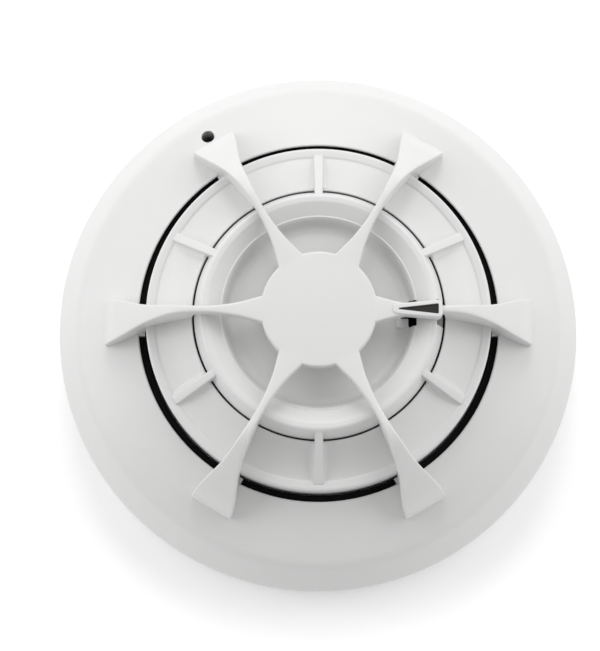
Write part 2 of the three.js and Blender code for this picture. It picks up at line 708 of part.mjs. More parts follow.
add(head, 'sensor_holder', sensorHolder(), MATERIALS.black);
add(head, 'sensor_lead_1', sensorLead(), MATERIALS.tin, { x: -LEAD.apart / 2 });
add(head, 'sensor_lead_2', sensorLead(), MATERIALS.tin, { x: LEAD.apart / 2 });
add(head, 'sensor_bead', sensorBead(), MATERIALS.beadCoating);

add(head, 'circuit_board', circuitBoard(), MATERIALS.board);
add(head, 'indicator_led', chip(LED.length, LED.width, LED.height), MATERIALS.ledLens, { x: 18.5 });
add(head, 'microcontroller', chip(8, 8, 1.3), MATERIALS.chip, { x: -13, y: 8, turn: 30 });
add(head, 'bridge_rectifier', chip(6.4, 5, 2.2), MATERIALS.chip, { x: -15, y: -8 });
add(head, 'filter_capacitor', filterCapacitor(), MATERIALS.capacitor, { x: -2, y: -14.5 });
add(head, 'surge_suppressor', surgeSuppressor(), MATERIALS.suppressor, { x: 3, y: 14 });

add(head, 'back_housing', backHousing(), MATERIALS.baseWhite);
add(head, 'rear_label', rearLabel(), MATERIALS.paper);

const smallScrew = screw({ head: 2, headHeight: 1.3, shank: 0.95, length: 3.4 });
BOARD_SCREW.angles.forEach((angle, i) => {
  const place = { distance: BOARD_SCREW.circle, angle, z: BOARD.top + GAP };
  add(head, `board_screw_${i + 1}`, smallScrew, MATERIALS.steel, place);
});

// The cover screws point upwards, from the back of the housing into the cover's bosses.
const longScrew = screw({ head: 2.4, headHeight: 1.3, shank: 1.05, length: 9.5 }).rotateX(Math.PI);
COVER_SCREW.angles.forEach((angle, i) => {
  const place = { distance: COVER_SCREW.circle, angle, z: HOUSING.bottom - GAP };
  add(head, `cover_screw_${i + 1}`, longScrew, MATERIALS.steel, place);
});

const blade = contactBlade();
const plate = terminalPlate();
const washer = clampWasher();
const clampScrew = screw({ head: 3, headHeight: 1.8, shank: 1.5, length: 4.4 });
TERMINAL_ANGLES.forEach((angle, i) => {
  const screwSeat = TERMINAL.plate + TERMINAL.thickness + 2 * GAP + WASHER.thickness;
  add(head, `contact_blade_${i + 1}`, blade, MATERIALS.nickel, { angle });
  add(base, `terminal_plate_${i + 1}`, plate, MATERIALS.nickel, { angle });
  add(base, `clamp_washer_${i + 1}`, washer, MATERIALS.steel, { angle });
  add(base, `terminal_screw_${i + 1}`, clampScrew, MATERIALS.steel,
    { distance: TERMINAL.screw, angle, z: screwSeat });
});

add(base, 'base_plate', basePlate(), MATERIALS.baseWhite);
const lockPlace = { distance: LOCK_HOLE.radius, angle: LOCK_HOLE.angle };
add(base, 'lock_plunger', lockPlunger(), MATERIALS.black, lockPlace);
add(base, 'lock_spring', lockSpring(), MATERIALS.steel, lockPlace);
add(base, 'lock_plug', lockPlug(), MATERIALS.baseWhite, lockPlace);

export default detector;
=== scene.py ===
"""Fine meshes, materials and studio for the heat detector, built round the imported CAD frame.

Sizes below are in millimetres. Objects are in metres, in the frame's own axes: +Z out through the
sensing face, +X along the guard arm that carries the indicator window.
"""
import json
import math
from types import SimpleNamespace as Sizes

import bmesh
import bpy
from mathutils import Matrix, Vector


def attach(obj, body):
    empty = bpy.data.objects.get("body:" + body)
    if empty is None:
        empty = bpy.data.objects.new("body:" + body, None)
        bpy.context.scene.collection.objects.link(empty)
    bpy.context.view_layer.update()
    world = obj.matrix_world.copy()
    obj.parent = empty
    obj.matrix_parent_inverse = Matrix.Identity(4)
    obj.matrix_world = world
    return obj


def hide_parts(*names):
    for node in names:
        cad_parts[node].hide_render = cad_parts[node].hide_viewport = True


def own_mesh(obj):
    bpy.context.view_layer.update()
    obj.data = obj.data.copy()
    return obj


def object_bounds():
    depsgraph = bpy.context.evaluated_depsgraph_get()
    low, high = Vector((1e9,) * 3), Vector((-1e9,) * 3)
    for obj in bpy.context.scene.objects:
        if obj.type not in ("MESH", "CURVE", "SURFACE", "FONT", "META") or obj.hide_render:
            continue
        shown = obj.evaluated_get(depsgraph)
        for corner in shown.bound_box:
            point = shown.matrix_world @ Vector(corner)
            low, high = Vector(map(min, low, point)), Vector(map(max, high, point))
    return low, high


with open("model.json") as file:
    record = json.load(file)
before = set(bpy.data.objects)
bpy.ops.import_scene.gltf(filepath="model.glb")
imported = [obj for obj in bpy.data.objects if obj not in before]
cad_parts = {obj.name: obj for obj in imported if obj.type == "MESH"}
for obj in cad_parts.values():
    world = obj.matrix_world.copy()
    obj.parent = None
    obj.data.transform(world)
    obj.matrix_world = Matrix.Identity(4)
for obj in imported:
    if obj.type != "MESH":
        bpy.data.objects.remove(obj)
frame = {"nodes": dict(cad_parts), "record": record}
cad_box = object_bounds()

# ---------------------------------------------------------------- driving dimensions

MM = 0.001
WELD = 1e-4                     # points nearer than this become one
SMOOTH_ANGLE = 32               # degrees; a sharper edge is shaded as an edge
ROUND = 256                     # sides of a large turned surface
FINE = 48                       # sides of a small turned surface
PAST = 1                        # how far a cutter reaches past what it cuts

# The cover's outside from its foot to the bezel's inner edge: radius, height.
SKIRT_FOOT = (55.4, 0.8)
SKIRT_TOP = (56, 11.4)
SHOULDER = (51.4, 19.6)
BEZEL_EDGE = (38.1, 26.6)
BEZEL_LIP = Sizes(width=1.4, depth=0.9)
SHOULDER_ROUND = 6
WALL = 2

HUB_RADIUS = 12
HUB_TOP = 45
HUB_STEPS = 14                  # points on the hub's edge between two arms
ARM_COUNT = 6
ARM_PITCH = 360 / ARM_COUNT
ARM_ROOT_ANGLE = 13.4           # half the angle that an arm takes up on the hub
# Distance from the axis, half width.
ARM_WIDTHS = ((16, 1.6), (20, 0.95), (24, 0.7), (30, 0.95), (36, 1.9), (42, 4.05))
ARM_BEND = Sizes(start=27, radius=8, slope=50)
ARM_DROOP = Sizes(start=42, rate=0.16)       # an arm's foot bends down past the start
ARM_UNDER = 41.7
ARM_DEPTH = 1                   # least height of an arm's side wall
ARM_EDGE = 0.5                  # rounding of the arms' upper edges
ARM_SINK = Sizes(dome=0.25, gap=2, bezel=0.5)   # how far an arm reaches into what is below it
FOOT = Sizes(radius=45.3, half_width=4.65, flare=0.25, corner=1.5, corner_start=0.9)
GAP_RIB = Sizes(
    inner=36.7, outer=38.7, half_width=2.9, bottom=BEZEL_EDGE[1] - 3.2, top=BEZEL_EDGE[1] - 0.5)

WINDOW = Sizes(inner=16.4, outer=24.6, tip=0.16, half_width=1.1)
WINDOW_FRAME = Sizes(wall=0.8, nose=0.4, nose_half=1, corner=0.9, top=45.4, edge=0.3)
LIGHT_PIPE = Sizes(clearance=0.08, bottom=ARM_UNDER + 0.2, top=44.7, edge=0.06)
STEM = Sizes(distance=18.4, size=(2.6, 1.6), hole=(3, 2), over_board=2.7)
LOCK_HOLE = Sizes(
    distance=47.4, degrees=120, radius=1.42, tube=2.1, tube_top=SHOULDER[1] + 0.8)

HOUSING_TOP = 11.8
BOARD_TOP = 15.3

DOME = Sizes(outer=36.3, inner=26.4, rim=32, rim_width=2.1, rim_step=0.16, top=36.4, wall=1.7)
DOME_STRAIGHT = 0.45            # share of the hollow's rise that is a straight slope
FLANGE = Sizes(radius=38.6, bottom=20.2, top=21.6)
BAFFLE = Sizes(clearance=0.3, bottom=21.9, under_bezel=2.3)
FIN = Sizes(
    inner=24.2, outer=34.9, inner_top=40.9, outer_top=32.2, inner_half=0.8, outer_half=1.0,
    edge=0.3, flare=1.2, sink=0.5)

COLLAR = Sizes(outer=26, wall=1.7, bottom=15.6, shoulder=36.2, top=41.2, crest=(23.2, 24.6))
CHAMBER = Sizes(radius=20.3, lip=39.4, floor=1.6)
# The chamber's floor from the wall to the sensor: radius, height.
CHAMBER_FOOT = (18.9, 36.3)
CHAMBER_HOLLOW = (17.2, 36.0)
CHAMBER_CROWN = (10, 36.5)
SENSOR_HOLE = (3.2, 36.6)
FLOOR_WINDOW = Sizes(inner=16, half_width=2.7, bottom=30, top=42)
FLOOR_STEP = Sizes(outer=18.6, bottom=34.6, top=37.6)
WALL_WINDOW = Sizes(middle=COLLAR.outer + 0.2, depth=3.6, bottom=32.8)

LEAD = Sizes(spacing=1.4, radius=0.28, fillet=0.62, top=37.9)
HOLDER = Sizes(bore=1.4, foot=4.6, bottom=15.6, top=34.8)
LABEL = Sizes(radius=13.5, bottom=8.9, top=9.2)

BASE = Sizes(
    radius=51.5, floor=2.2, rim=7.8, rim_inside=49.4, cable_hole=15, collar=16.8, collar_height=2.4,
    sink=0.5)                   # how far what stands on the floor reaches into it
LUG = Sizes(angles=(45, 165, 285), inner=46.4, bottom=5.6, half_angle=8, window_half=7.5)
LUG_STOP = Sizes(behind=9.6, half_angle=1.2)
PAD = Sizes(angles=(45, 135, 225, 315), distance=24.5, size=(12, 10), top=3.1, hole=1.8,
            hole_distance=23.5, hole_bottom=0.9)
SLOT = Sizes(angles=(0, 90, 180, 270), distance=36.75, size=(18.1, 4.6), corner=2.25)
BOSS = Sizes(radius=3.2, top=7.4, bore=2, bore_top=6.4, tip_hole=1.5)
PLUNGER = Sizes(bottom=5, collar=1.7, collar_top=6.1, tip=1.2, top=9)
PLUG = Sizes(bottom=0.1, radius=1.7, top=1.2)
SPRING = Sizes(coil=1.25, wire=0.16, bottom=1.5, top=4.7, turns=4)


# ---------------------------------------------------------------- mesh helpers

def polar(distance, degrees):
    angle = math.radians(degrees)
    return Vector((distance * math.cos(angle), distance * math.sin(angle)))


def arm_angles(offset=0):
    return [ARM_PITCH * (k + offset) for k in range(ARM_COUNT)]


def smooth_curve(points, steps):
    """A smooth curve through the points (Catmull-Rom), with that many steps in each span."""
    points = [Vector(p) for p in points]
    ends = [2 * points[0] - points[1], *points, 2 * points[-1] - points[-2]]
    curve = []
    for a, b, c, d in zip(ends, ends[1:], ends[2:], ends[3:]):
        for i in range(steps):
            t = i / steps
            curve.append(0.5 * (2 * b + (c - a) * t + (2 * a - 5 * b + 4 * c - d) * t ** 2
                                + (3 * b - a - 3 * c + d) * t ** 3))
    curve.append(points[-1])
    return curve


def rounded(corners, steps=5, closed=True):
    """An outline whose corners (x, y, radius) become arcs; a corner with no radius stays."""
    most = 0.49                 # of a side, so that the arcs at its two ends stay apart
    outline = []
    count = len(corners)
    for i, corner in enumerate(corners):
        here = Vector(corner[:2])
        radius = corner[2] if len(corner) > 2 else 0
        at_end = not closed and i in (0, count - 1)
        if not radius or at_end:
            outline.append(here)
            continue
        before = Vector(corners[i - 1][:2]) - here
        after = Vector(corners[(i + 1) % count][:2]) - here
        half = before.angle(after) / 2
        reach = min(radius / math.tan(half), most * before.length, most * after.length)
        radius = reach * math.tan(half)
        before.normalize()
        after.normalize()
        middle = here + (before + after).normalized() * radius / math.sin(half)
        first = here + before * reach - middle
        sweep = first.angle_signed(here + after * reach - middle)
        for k in range(steps + 1):
            outline.append(middle + Matrix.Rotation(-sweep * k / steps, 2) @ first)
    return outline


def new_object(name, bm, smooth_angle=SMOOTH_ANGLE):
    """A mesh object in metres from a bmesh in millimetres, with smooth shading up to an angle."""
    bmesh.ops.remove_doubles(bm, verts=bm.verts, dist=WELD)
    bmesh.ops.recalc_face_normals(bm, faces=bm.faces)
    bmesh.ops.scale(bm, verts=bm.verts, vec=(MM, MM, MM))
    mesh = bpy.data.meshes.new(name)
    bm.to_mesh(mesh)
    bm.free()
    shade(mesh, smooth_angle)
    obj = bpy.data.objects.new(name, mesh)
    bpy.context.scene.collection.objects.link(obj)
    return obj


def shade(mesh, smooth_angle=SMOOTH_ANGLE):
    mesh.shade_smooth()
    mesh.set_sharp_from_angle(angle=math.radians(smooth_angle))


def turned(name, outline, sides=ROUND, smooth_angle=SMOOTH_ANGLE):
    """A closed (radius, height) outline turned about Z."""
    bm = bmesh.new()
    rings = []
    for i in range(sides):
        angle = 2 * math.pi * i / sides
        across = (math.cos(angle), math.sin(angle))
        rings.append([bm.verts.new((r * across[0], r * across[1], z)) for r, z in outline])
    for here, there in zip(rings, rings[1:] + rings[:1]):
        for k in range(len(outline)):
            m = (k + 1) % len(outline)
            bm.faces.new((here[k], there[k], there[m], here[m]))
    return new_object(name, bm, smooth_angle)


def loft(bm, loops, caps=True):
    """Joins closed loops of points with the same count, one after the other, and caps the ends."""
    rows = [[bm.verts.new(p) for p in loop] for loop in loops]
    count = len(rows[0])
    for low, high in zip(rows, rows[1:]):
        for k in range(count):
            m = (k + 1) % count
            bm.faces.new((low[k], low[m], high[m], high[k]))
    if caps:
        bm.faces.new(rows[0][::-1])
        bm.faces.new(rows[-1])
    return rows


def insets(outline, distances):
    """The closed outline moved inwards by each distance (counterclockwise outline)."""
    least_lean = 0.6            # keeps a sharp corner from shooting inwards
    count = len(outline)
    sides = []
    for i, here in enumerate(outline):
        before = (here - outline[i - 1]).normalized()
        after = (outline[(i + 1) % count] - here).normalized()
        inward = Vector((-before.y - after.y, before.x + after.x)).normalized()
        lean = max(inward.dot(Vector((-after.y, after.x))), least_lean)
        sides.append(inward / lean)
    return [[p + side * d for p, side in zip(outline, sides)] for d in distances]


def edge_profile(radius, steps=5):
    """(inset, drop) pairs of a rounded upper edge, from the side wall to the top."""
    turns = [math.pi / 2 * k / steps for k in range(steps + 1)]
    return [(radius * (1 - math.cos(t)), radius * (1 - math.sin(t))) for t in turns]


def apply_booleans(obj, cutters=(), joiners=()):
    """Joins and cuts obj with other objects, which are then removed."""
    for operation, others in (("UNION", joiners), ("DIFFERENCE", cutters)):
        for other in others:
            modifier = obj.modifiers.new("boolean", "BOOLEAN")
            modifier.object = other
            modifier.operation = operation
            modifier.solver = "MANIFOLD"
    depsgraph = bpy.context.evaluated_depsgraph_get()
    mesh = bpy.data.meshes.new_from_object(obj.evaluated_get(depsgraph))
    obj.modifiers.clear()
    old = obj.data
    obj.data = mesh
    bpy.data.meshes.remove(old)
    mesh.name = obj.name
    for other in (*joiners, *cutters):
        used = other.data
        bpy.data.objects.remove(other)
        bpy.data.meshes.remove(used)
    shade(mesh)
    return obj


def prism(name, outline, bottom, top):
    bm = bmesh.new()
    loft(bm, [[(p[0], p[1], z) for p in outline] for z in (bottom, top)])
    return new_object(name, bm)


def rounded_prism(name, outline, bottom, top, radius, steps):
    """An upright prism with a rounded upper edge."""
    profile = edge_profile(radius, steps)
    rings = insets(outline, [inset for inset, _ in profile])
    loops = [[(*p, bottom) for p in outline]]
    loops += [[(*p, top - drop) for p in ring] for ring, (_, drop) in zip(rings, profile)]
    bm = bmesh.new()
    loft(bm, loops)
    return new_object(name, bm)


def cylinder(name, radius, bottom, top, distance, degrees):
    middle = polar(distance, degrees)
    circle = [middle + polar(radius, 360 * k / FINE) for k in range(FINE)]
    return prism(name, circle, bottom, top)


def turn_about_z(obj, degrees):
    obj.data.transform(Matrix.Rotation(math.radians(degrees), 4, "Z"))
    return obj


def moved(obj, x, y):
    obj.data.transform(Matrix.Translation((x * MM, y * MM, 0)))
    return obj


def block(name, size, middle, bottom, top, corner=0.3):
    """An upright block with rounded upright edges, from its size and middle in x and y."""
    reach = [side / 2 for side in size]
    corners = [
        (middle[0] + x * reach[0], middle[1] + y * reach[1], corner)
        for x, y in ((-1, -1), (1, -1), (1, 1), (-1, 1))
    ]
    return prism(name, rounded(corners, 4), bottom, top)


def arc_block(name, inner, outer, bottom, top, degrees, half_angle, steps=12):
    sweep = [degrees - half_angle + 2 * half_angle * k / steps for k in range(steps + 1)]
    outline = [polar(outer, a) for a in sweep] + [polar(inner, a) for a in reversed(sweep)]
    return prism(name, outline, bottom, top)


# ---------------------------------------------------------------- outer cover

def arm_top(distance):
    """Height of an arm's upper face at a distance from the axis: level, an arc, then a slope."""
    radius = ARM_BEND.radius
    slope = math.radians(ARM_BEND.slope)
    bend_end = ARM_BEND.start + radius * math.sin(slope)
    if distance <= ARM_BEND.start:
        return HUB_TOP
    if distance < bend_end:
        return HUB_TOP - radius + math.sqrt(radius ** 2 - (distance - ARM_BEND.start) ** 2)
    droop = ARM_DROOP.rate * max(distance - ARM_DROOP.start, 0) ** 2
    fall = radius * (1 - math.cos(slope)) + (distance - bend_end) * math.tan(slope)
    return HUB_TOP - fall - droop


def bezel_height(distance):
    share = (distance - BEZEL_EDGE[0]) / (SHOULDER[0] - BEZEL_EDGE[0])
    return BEZEL_EDGE[1] + share * (SHOULDER[1] - BEZEL_EDGE[1])


def dome_height(distance):
    """Height of the dome ring's hollow top."""
    start = DOME.outer - DOME.rim_width
    bottom = DOME.rim - DOME.rim_step
    share = min(max((start - distance) / (start - DOME.inner), 0), 1)
    rise = DOME_STRAIGHT * share + (1 - DOME_STRAIGHT) * share ** 2
    return bottom + (DOME.top - bottom) * rise


def arm_foot_line(distance):
    """Height that an arm's side wall goes down to: just into whatever is below it."""
    if distance < DOME.inner:
        return ARM_UNDER
    if distance < DOME.outer:
        return dome_height(distance) - ARM_SINK.dome
    if distance < BEZEL_EDGE[0]:
        return BEZEL_EDGE[1] - ARM_SINK.gap
    return bezel_height(distance) - ARM_SINK.bezel


def arm_side():
    """One side of an arm, from the hub to the foot's corner, as (distance along, half width)."""
    root = polar(HUB_RADIUS, ARM_ROOT_ANGLE)
    toe = (FOOT.radius - FOOT.corner_start, FOOT.half_width)
    side = smooth_curve([root, *ARM_WIDTHS, toe], 9)
    corner = (FOOT.radius, FOOT.half_width + FOOT.flare, FOOT.corner)
    return side[:-2] + rounded([side[-2], corner, (FOOT.radius, 0)], closed=False)[:-1]


def guard():
    """The hub and six arms, with rounded upper edges."""
    side = arm_side()
    spread = ARM_PITCH - 2 * ARM_ROOT_ANGLE
    arm_loop = [Vector((p.x, -p.y)) for p in side] + side[::-1]
    outline = []
    along = []                  # each point's distance along its arm and the arm's turn
    for start in arm_angles():
        turn = Matrix.Rotation(math.radians(start), 2)
        outline += [turn @ p for p in arm_loop]
        along += [(p.x, turn) for p in arm_loop]
        for k in range(1, HUB_STEPS):
            outline.append(polar(HUB_RADIUS, start + ARM_ROOT_ANGLE + spread * k / HUB_STEPS))
            along.append((0, None))

    def height(point, turn):
        return HUB_TOP if turn is None else arm_top((turn.transposed() @ point).x)

    bottom = []
    for point, (distance, turn) in zip(outline, along):
        low = ARM_UNDER if turn is None else arm_foot_line(distance)
        bottom.append((*point, min(low, height(point, turn) - ARM_DEPTH)))
    loops = [bottom]
    profile = edge_profile(ARM_EDGE)
    rings = insets(outline, [inset for inset, _ in profile])
    for ring, (_, drop) in zip(rings, profile):
        loops.append([(*p, height(p, turn) - drop) for p, (_, turn) in zip(ring, along)])
    bm = bmesh.new()
    rows = loft(bm, loops, caps=False)
    for row in (rows[0], rows[-1]):
        cap_guard(bm, row, len(side))
    return new_object("guard", bm)


def cap_guard(bm, row, side_count):
    """Closes one face of the guard: strips across the arms and a flat hub."""
    stride = 2 * side_count + HUB_STEPS - 1
    hub = []
    for arm in range(ARM_COUNT):
        start = arm * stride
        low = row[start:start + side_count]
        high = row[start + side_count:start + 2 * side_count][::-1]
        for k in range(side_count - 1):
            bm.faces.new((low[k], low[k + 1], high[k + 1], high[k]))
        hub += [low[0], high[0], *row[start + 2 * side_count:start + stride]]
    bm.faces.new(hub)


def window_frame():
    """The frame round the indicator window, as a closed solid with a rounded top."""
    near = WINDOW.inner - WINDOW_FRAME.wall - WINDOW_FRAME.nose
    far = WINDOW.outer + WINDOW_FRAME.wall
    narrow = WINDOW_FRAME.nose_half
    wide = WINDOW.half_width + WINDOW_FRAME.wall
    outline = rounded([
        (x, y, WINDOW_FRAME.corner)
        for x, y in ((near, -narrow), (far, -wide), (far, wide), (near, narrow))
    ], 6)
    return rounded_prism(
        "window_frame", outline, ARM_UNDER, WINDOW_FRAME.top, WINDOW_FRAME.edge, 4)


def gap_rib(angle):
    """A short bridge across the dark gap, under an arm."""
    inner, outer, half = GAP_RIB.inner, GAP_RIB.outer, GAP_RIB.half_width
    outline = [(inner, -half), (outer, -half), (outer, half), (inner, half)]
    return turn_about_z(prism("gap_rib", outline, GAP_RIB.bottom, GAP_RIB.top), angle)


def wedge_outline(clearance):
    """The drop-shaped window, made smaller all round by the clearance."""
    near, far = WINDOW.inner + clearance, WINDOW.outer - clearance
    tip, half = WINDOW.tip - clearance, WINDOW.half_width - clearance
    return rounded([(near, -tip, 0.03), (far, -half, 0.25), (far, half, 0.25), (near, tip, 0.03)])


def outer_cover():
    foot, bottom = SKIRT_FOOT
    radius, top = SKIRT_TOP
    edge, edge_height = BEZEL_EDGE
    lip_end = edge + BEZEL_LIP.width
    cover = turned("outer_cover_shell", rounded([
        (foot - 0.4, bottom, 0.2), (foot, bottom + 0.6, 0.3), (radius, top, 2.5),
        (*SHOULDER, SHOULDER_ROUND), (edge, edge_height, 0.35),
        (edge, edge_height - BEZEL_LIP.depth, 0.2), (lip_end, bezel_height(lip_end) - WALL, 0.5),
        (SHOULDER[0] - 1.6, SHOULDER[1] - WALL + 0.2, 1), (radius - WALL, top - 0.4, 1),
        (foot - WALL + 0.2, bottom, 0.3),
    ], 7))
    lock = (LOCK_HOLE.distance, LOCK_HOLE.degrees)
    hole_top = edge_height + PAST
    return apply_booleans(
        cover,
        joiners=[
            guard(), window_frame(), *(gap_rib(angle) for angle in arm_angles()),
            cylinder("lock_tube", LOCK_HOLE.tube, HOUSING_TOP, LOCK_HOLE.tube_top, *lock),
        ],
        cutters=[
            cylinder("lock_hole", LOCK_HOLE.radius, HOUSING_TOP - PAST, hole_top, *lock),
            prism("window_hole", wedge_outline(0), ARM_UNDER - PAST, WINDOW_FRAME.top + PAST),
        ],
    )


# ---------------------------------------------------------------- dome ring and chamber collar

def fin(angle):
    """A fin with rounded upper edges and a flared foot, from the collar to the dome's rim."""
    steps, flare_steps = 20, 5
    edge = edge_profile(FIN.edge, 4)
    loops = []
    for k in range(steps + 1):
        share = k / steps
        distance = FIN.inner + (FIN.outer - FIN.inner) * share
        half = FIN.inner_half + (FIN.outer_half - FIN.inner_half) * share
        top = FIN.inner_top + (FIN.outer_top - FIN.inner_top) * share
        low, flare = COLLAR.shoulder, 0.05
        if distance > DOME.inner + 0.1:
            low = dome_height(distance)
            flare = min(FIN.flare, 0.6 * (top - low))
        side = [(half + flare, low - FIN.sink)]
        for t in (math.pi / 2 * step / flare_steps for step in range(flare_steps + 1)):
            side.append((half + flare * (1 - math.sin(t)), low + flare * (1 - math.cos(t))))
        side += [(half - inset, top - drop) for inset, drop in edge]
        section = [(-y, z) for y, z in side] + side[::-1]
        loops.append([(distance, y, z) for y, z in section])
    bm = bmesh.new()
    loft(bm, loops)
    bmesh.ops.rotate(bm, verts=bm.verts, matrix=Matrix.Rotation(math.radians(angle), 3, "Z"))
    return new_object("fin", bm)


def dome_ring():
    outer, inner, rim, wall = DOME.outer, DOME.inner, DOME.rim, DOME.outer - DOME.wall
    start, end = outer - DOME.rim_width, inner + 0.2
    low = rim - DOME.rim_step
    steps = 14
    distances = [start + (end - start) * k / steps for k in range(steps + 1)]
    hollow = [(distance, dome_height(distance)) for distance in distances]
    outer_side = rounded([
        (wall, HOUSING_TOP), (outer, HOUSING_TOP), (outer, FLANGE.bottom),
        (FLANGE.radius, FLANGE.bottom, 0.2), (FLANGE.radius, FLANGE.top, 0.2), (outer, FLANGE.top),
        (outer, rim, 0.6), (outer - 1.75, rim, 0.35), (start, low, 0.2), (start - 1, low),
    ], closed=False)
    inner_side = rounded([
        (inner, DOME.top - 0.3), (inner, DOME.top - 1.7), (29.5, 31.9, 1), (wall, rim - 2.1, 1),
        (wall, HOUSING_TOP),
    ], closed=False)
    ring = turned("dome_ring_fine", outer_side[:-1] + hollow[1:] + inner_side[:-1])
    return apply_booleans(ring, joiners=[fin(angle) for angle in arm_angles(0.5)])


def chamber_collar():
    radius, lip, depth = CHAMBER.radius, CHAMBER.lip, CHAMBER.floor
    foot, hollow, crown, hole = CHAMBER_FOOT, CHAMBER_HOLLOW, CHAMBER_CROWN, SENSOR_HOLE
    wall_inside = COLLAR.outer - COLLAR.wall
    collar = turned("chamber_collar_fine", rounded([
        (COLLAR.outer, COLLAR.bottom), (COLLAR.outer, COLLAR.shoulder, 0.3),
        (COLLAR.crest[1], COLLAR.top, 0.7), (COLLAR.crest[0], COLLAR.top - 0.1, 0.9),
        (radius + 0.15, lip + 0.05, 0.12), (radius - 0.1, lip + 0.15, 0.15),
        (radius - 0.55, lip - 0.4, 0.5), (*foot, 1.4), (*hollow, 2), (*crown, 5), (*hole, 0.3),
        (hole[0], hole[1] - depth, 0.2), (crown[0], crown[1] - depth, 3),
        (hollow[0], hollow[1] - depth, 1), (foot[0] + 0.7, foot[1] - 1.4, 0.6),
        (radius + 1.3, lip - depth, 0.5), (radius + 3.3, lip - 1.4),
        (wall_inside, COLLAR.shoulder - 0.6), (wall_inside, COLLAR.bottom),
    ], 6))

    def across(name, inner, outer, bottom, top, corner):
        """A block as wide as the window, from one distance to another along +X."""
        size = (outer - inner, 2 * FLOOR_WINDOW.half_width)
        return block(name, size, ((inner + outer) / 2, 0), bottom, top, corner)

    bottom, top = FLOOR_WINDOW.bottom, FLOOR_WINDOW.top
    reach = WALL_WINDOW.depth / 2
    step = across(
        "step", FLOOR_WINDOW.inner, FLOOR_STEP.outer + PAST, FLOOR_STEP.bottom, FLOOR_STEP.top, 0.2)
    cutters = [
        across("opening", FLOOR_STEP.outer, radius, bottom, top, 0.2),
        block("stem_hole", STEM.hole, (STEM.distance, 0), bottom, top),
        across("wall_window", WALL_WINDOW.middle - reach, WALL_WINDOW.middle + reach,
               WALL_WINDOW.bottom, top, 0.1),
    ]
    return apply_booleans(collar, cutters, joiners=[step])


def baffle_ring():
    inner, outer = DOME.outer + BAFFLE.clearance, FLANGE.radius
    bottom, top = BAFFLE.bottom, BEZEL_EDGE[1] - BAFFLE.under_bezel
    return turned("baffle_ring_fine", rounded([
        (inner, bottom, 0.2), (outer, bottom, 0.2), (outer, top, 0.3), (inner, top, 0.3)]))


def light_pipe():
    """The wedge in the window, with a rounded top, and its stem down to the board."""
    pipe = rounded_prism(
        "light_pipe_fine", wedge_outline(LIGHT_PIPE.clearance), LIGHT_PIPE.bottom, LIGHT_PIPE.top,
        LIGHT_PIPE.edge, 3)
    neck = block("neck", (2, 0.4), (19.6, 0), ARM_UNDER - 1.5, ARM_UNDER + 1.5, 0.1)
    stem = block(
        "stem", STEM.size, (STEM.distance, 0), BOARD_TOP + STEM.over_board, ARM_UNDER - 0.1, 0.35)
    return apply_booleans(pipe, joiners=[neck, stem])


# ---------------------------------------------------------------- sensor and label

def sensor_bead():
    outline = smooth_curve([
        (0, 38.2), (0.81, 38.3), (1.26, 39), (1.35, 39.8), (1.08, 40.7), (0.6, 41.2), (0, 41.3),
    ], 5)
    return turned("sensor_bead_fine", outline, FINE, smooth_angle=60)


def sensor_lead(side):
    """One wire of the sensor, with its solder fillet on the board."""
    low = BOARD_TOP + 0.5
    lead = turned(f"sensor_lead_fine_{side}", rounded([
        (0, low), (LEAD.fillet, low), (LEAD.radius + 0.02, BOARD_TOP + 1.2, 0.5),
        (LEAD.radius, LEAD.top, 0.1), (0, LEAD.top),
    ]), sides=20)
    return moved(lead, LEAD.spacing * (side - 1.5), 0)


def sensor_holder():
    bore, foot, bottom, top = HOLDER.bore, HOLDER.foot, HOLDER.bottom, HOLDER.top
    return turned("sensor_holder_fine", rounded([
        (bore, bottom, 0.2), (foot, bottom, 0.2), (foot, bottom + 1.2, 0.4), (2.9, bottom + 2, 0.5),
        (2.7, top - 0.6, 0.4), (2.1, top, 0.3), (bore, top, 0.3),
    ]), sides=96)


def rear_label():
    radius, bottom, top = LABEL.radius, LABEL.bottom, LABEL.top
    return turned("rear_label_fine", rounded([
        (0, bottom), (radius, bottom, 0.1), (radius, top, 0.05), (0, top)]), sides=160)


# ---------------------------------------------------------------- base and lock

